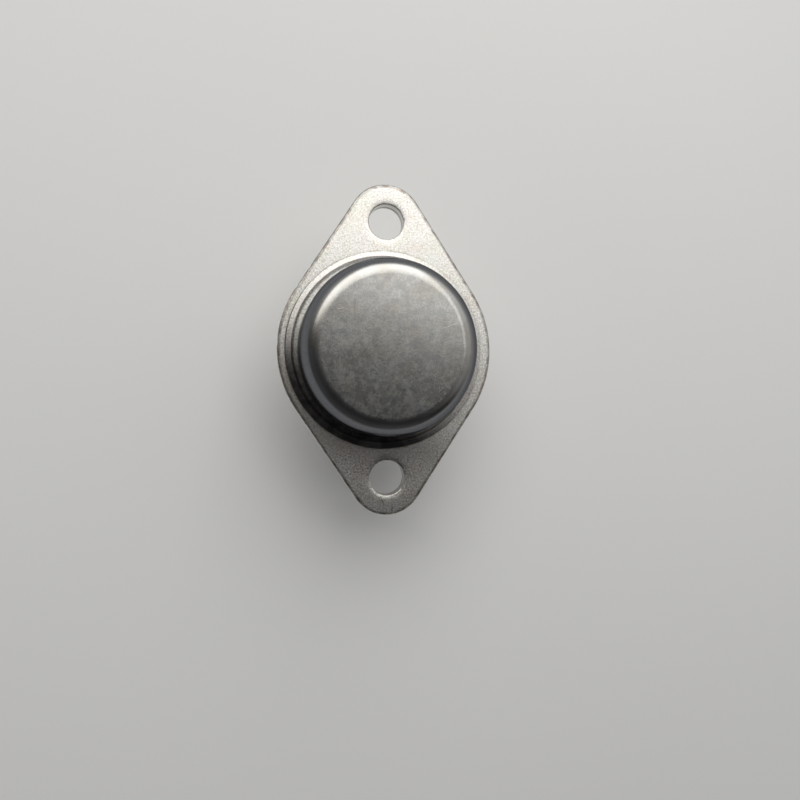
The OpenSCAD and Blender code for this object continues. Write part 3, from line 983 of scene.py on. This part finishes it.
def make_glass_material():
    """Dark sealing glass: cloudy grey-green, glossy, with a few bubbles under the surface."""
    material, tree, shader, place = new_material("sealing_glass")
    clouds = noise(tree, place, 1.6, 3.0, 0.6)
    bubbles = add(tree, "ShaderNodeTexVoronoi", {"Vector": place, "Scale": 5.5}, feature="F1")
    bubble = remap(tree, bubbles.outputs["Distance"], 0.16, 0.08)
    colour = mix(tree, clouds, glass_dark, glass_cloud)
    colour = mix(tree, times(tree, bubble, 0.5), colour, glass_bubble)
    roughness = calc(tree, "ADD", 0.06, times(tree, clouds, 0.06))
    finish_shader(tree, shader, colour, roughness, bump(tree, clouds, 0.004), metallic=0.0)
    return material


def make_metal_material(name, pale, dark, patch_size, smooth, spread, grain_size, grain_depth):
    """A plain metal of the chip's stack: two colours in patches of one size, whose roughness grows
    from smooth by spread, with a grain of its own."""
    material, tree, shader, place = new_material(name)
    stains = stains_in(tree, place, patch_size)
    grain = grain_in(tree, place, grain_size)
    colour = mix(tree, times(tree, stains["First"], 0.6), pale, dark)
    colour = mix(tree, times(tree, grain["Shade"], 0.25), colour, dark)
    roughness = calc(tree, "ADD", smooth, times(tree, stains["First"], spread))
    finish_shader(tree, shader, colour, roughness, bump(tree, grain["Height"], grain_depth))
    return material


def make_silicon_material():
    """Polished silicon: dark blue-grey with faint clouds and the fine lines of its saw cuts."""
    material, tree, shader, place = new_material("polished_silicon")
    clouds = stains_in(tree, place, 1.1)
    lines = use(tree, hairline_group, Place=place, Angle=0.0, Spacing=0.1)["Mask"]
    colour = mix(tree, clouds["First"], silicon_dark, silicon_cloud)
    roughness = calc(tree, "ADD", 0.10, times(tree, clouds["Second"], 0.08))
    finish_shader(tree, shader, colour, roughness, bump(tree, lines, 0.002), metallic=0.4)
    return material


flange_nickel = make_flange_material()
cap_nickel = make_cap_material()
wire_metal = make_wire_material()
seal_glass = make_glass_material()
copper = make_metal_material(
    "spreader_copper", pale=(0.78, 0.46, 0.32, 1), dark=(0.50, 0.24, 0.15, 1),
    patch_size=1.8, smooth=0.26, spread=0.16, grain_size=0.1, grain_depth=0.004
)
braze = make_metal_material(
    "braze_alloy", pale=(0.80, 0.68, 0.42, 1), dark=(0.55, 0.42, 0.24, 1),
    patch_size=0.9, smooth=0.3, spread=0.15, grain_size=0.09, grain_depth=0.006
)
solder = make_metal_material(
    "soft_solder", pale=(0.62, 0.62, 0.64, 1), dark=(0.40, 0.40, 0.42, 1),
    patch_size=0.5, smooth=0.28, spread=0.2, grain_size=0.08, grain_depth=0.008
)
clip_tin = make_metal_material(
    "tinned_strip", pale=(0.78, 0.73, 0.62, 1), dark=(0.56, 0.50, 0.40, 1),
    patch_size=0.7, smooth=0.24, spread=0.14, grain_size=0.07, grain_depth=0.004
)
silicon = make_silicon_material()

inner_materials = {
    "spreader_braze": braze, "heat_spreader": copper, "chip_solder": solder, "silicon_chip": silicon,
    "emitter_contact": solder, "base_contact": solder, "emitter_clip": clip_tin, "base_clip": clip_tin,
    "emitter_lead_solder": solder, "base_lead_solder": solder,
}
for node, material in inner_materials.items():
    frame["nodes"][node].data.materials.clear()
    frame["nodes"][node].data.materials.append(material)


# Pieces

build("flange", ["base_plate"], flange_nickel, flange_patches())
build("can", ["cap"], cap_nickel, cap_patches())
for side in ("emitter", "base"):
    seal, lead = side + "_glass_seal", side + "_lead"
    wire_r = round_mm(lead)[1]
    build(side + "_glass", [seal], seal_glass, glass_patches(seal, wire_r))
    build(side + "_wire", [lead], wire_metal, wire_patches(lead))


# Floor, lamps, world and camera

horizon_colour = (0.5, 0.5, 0.505, 1)
floor_pale = (0.85, 0.85, 0.84, 1)
floor_paler = (0.87, 0.87, 0.86, 1)
sky_overhead = (0.022, 0.022, 0.026, 1)
sky_low = (0.06, 0.06, 0.065, 1)
sky_bright = (0.5, 0.5, 0.5, 1)
# The floor's radius in metres, and from where to where in millimetres it turns into the horizon
floor_radius = 2.0
fade_start = 60.0
fade_end = 210.0
# The camera fitted to the photograph's edges: its place in millimetres, its turn and its lens
camera_place = (-11.144, -5.496, 71.493)
camera_turn = (-0.005, -0.180, -0.003)
camera_lens = 27.045


def make_floor():
    """A round pale floor that touches the tips of the leads. Far out it turns into the colour of
    the horizon, and it can be seen through from below."""
    mesh = bpy.data.meshes.new("floor")
    angle = full_turn(128)
    ring = np.stack([np.cos(angle), np.sin(angle), 0 * angle], axis=-1) * floor_radius
    ring[:, 2] = cad_box[0][2]
    mesh.from_pydata(ring, [], [list(range(128))])
    material, tree, shader, place = new_material("pale_floor")
    shader.inputs["Roughness"].default_value = 0.9
    shades = noise(tree, place, 0.02, 2.0, 0.5)
    tree.links.new(mix(tree, shades, floor_pale, floor_paler), shader.inputs["Base Color"])
    distance = vector_math(tree, "LENGTH", place)["Value"]
    horizon = add(tree, "ShaderNodeEmission", {"Color": horizon_colour, "Strength": 1.0}).outputs[0]
    faded = add(tree, "ShaderNodeMixShader", {
        0: remap(tree, distance, fade_start, fade_end), 1: shader.outputs[0], 2: horizon
    })
    see_through = add(tree, "ShaderNodeMixShader", {
        0: tree.nodes.new("ShaderNodeNewGeometry").outputs["Backfacing"],
        1: faded.outputs[0], 2: tree.nodes.new("ShaderNodeBsdfTransparent").outputs[0]
    })
    tree.links.new(see_through.outputs[0], tree.nodes["Material Output"].inputs["Surface"])
    mesh.materials.append(material)
    floor = bpy.data.objects.new("floor", mesh)
    bpy.context.scene.collection.objects.link(floor)


def make_panel(name, height, heading, near, far, right, left, power, colour):
    """A level light panel that hangs at a height and shines down. Seen from above, it reaches from
    near to far in the direction of heading, in degrees from +X, and from right to left across it.
    Lengths are in metres."""
    data = bpy.data.lights.new(name, "AREA")
    data.shape = "RECTANGLE"
    data.size = far - near
    data.size_y = left + right
    data.energy = power
    data.color = colour
    panel = bpy.data.objects.new(name, data)
    turn = math.radians(heading)
    along, across = (far + near) / 2, (left - right) / 2
    panel.location = (
        along * math.cos(turn) - across * math.sin(turn),
        along * math.sin(turn) + across * math.cos(turn),
        height,
    )
    panel.rotation_euler = (0, 0, turn)
    panel.visible_camera = False
    bpy.context.scene.collection.objects.link(panel)


def make_world():
    """Soft light from all round: a pale band at the horizon, above it a dark sky that brightens
    towards +Y, and on the right a pale wall that fades towards the horizon."""
    world = bpy.data.worlds.new("studio")
    bpy.context.scene.world = world
    world.use_nodes = True
    tree = world.node_tree
    background = tree.nodes["Background"]
    generated = tree.nodes.new("ShaderNodeTexCoord").outputs["Generated"]
    direction = parts_of(tree, generated)
    dark = mix(tree, remap(tree, direction["Z"], 0.85, 0.55), sky_overhead, sky_low)
    sky = mix(tree, remap(tree, direction["Y"], 0.05, 0.8), dark, sky_bright)
    wall = times(tree, remap(tree, direction["X"], 0.35, 0.65), remap(tree, direction["Z"], 0.12, 0.5))
    wall_light = calc(tree, "ADD", 0.45, direction["Y"], clamp=True)
    sky = mix(tree, wall, sky, grey(tree, wall_light))
    colour = mix(tree, remap(tree, direction["Z"], 0.40, 0.15), sky, horizon_colour)
    tree.links.new(colour, background.inputs["Color"])
    background.inputs["Strength"].default_value = 1.0


def make_camera():
    """The camera at the photograph's angle."""
    data = bpy.data.cameras.new("camera")
    data.sensor_width = 36
    data.lens = camera_lens
    data.clip_start = 0.001
    camera = bpy.data.objects.new("camera", data)
    camera.location = np.array(camera_place) * MM
    camera.rotation_euler = camera_turn
    bpy.context.scene.collection.objects.link(camera)
    bpy.context.scene.camera = camera


make_floor()
make_panel(
    "softbox", height=0.30, heading=74, near=0.064, far=0.90, right=0.15, left=0.32,
    power=2.5, colour=(1.0, 0.985, 0.96)
)
make_world()
make_camera()
bpy.context.scene.view_settings.view_transform = "Standard"
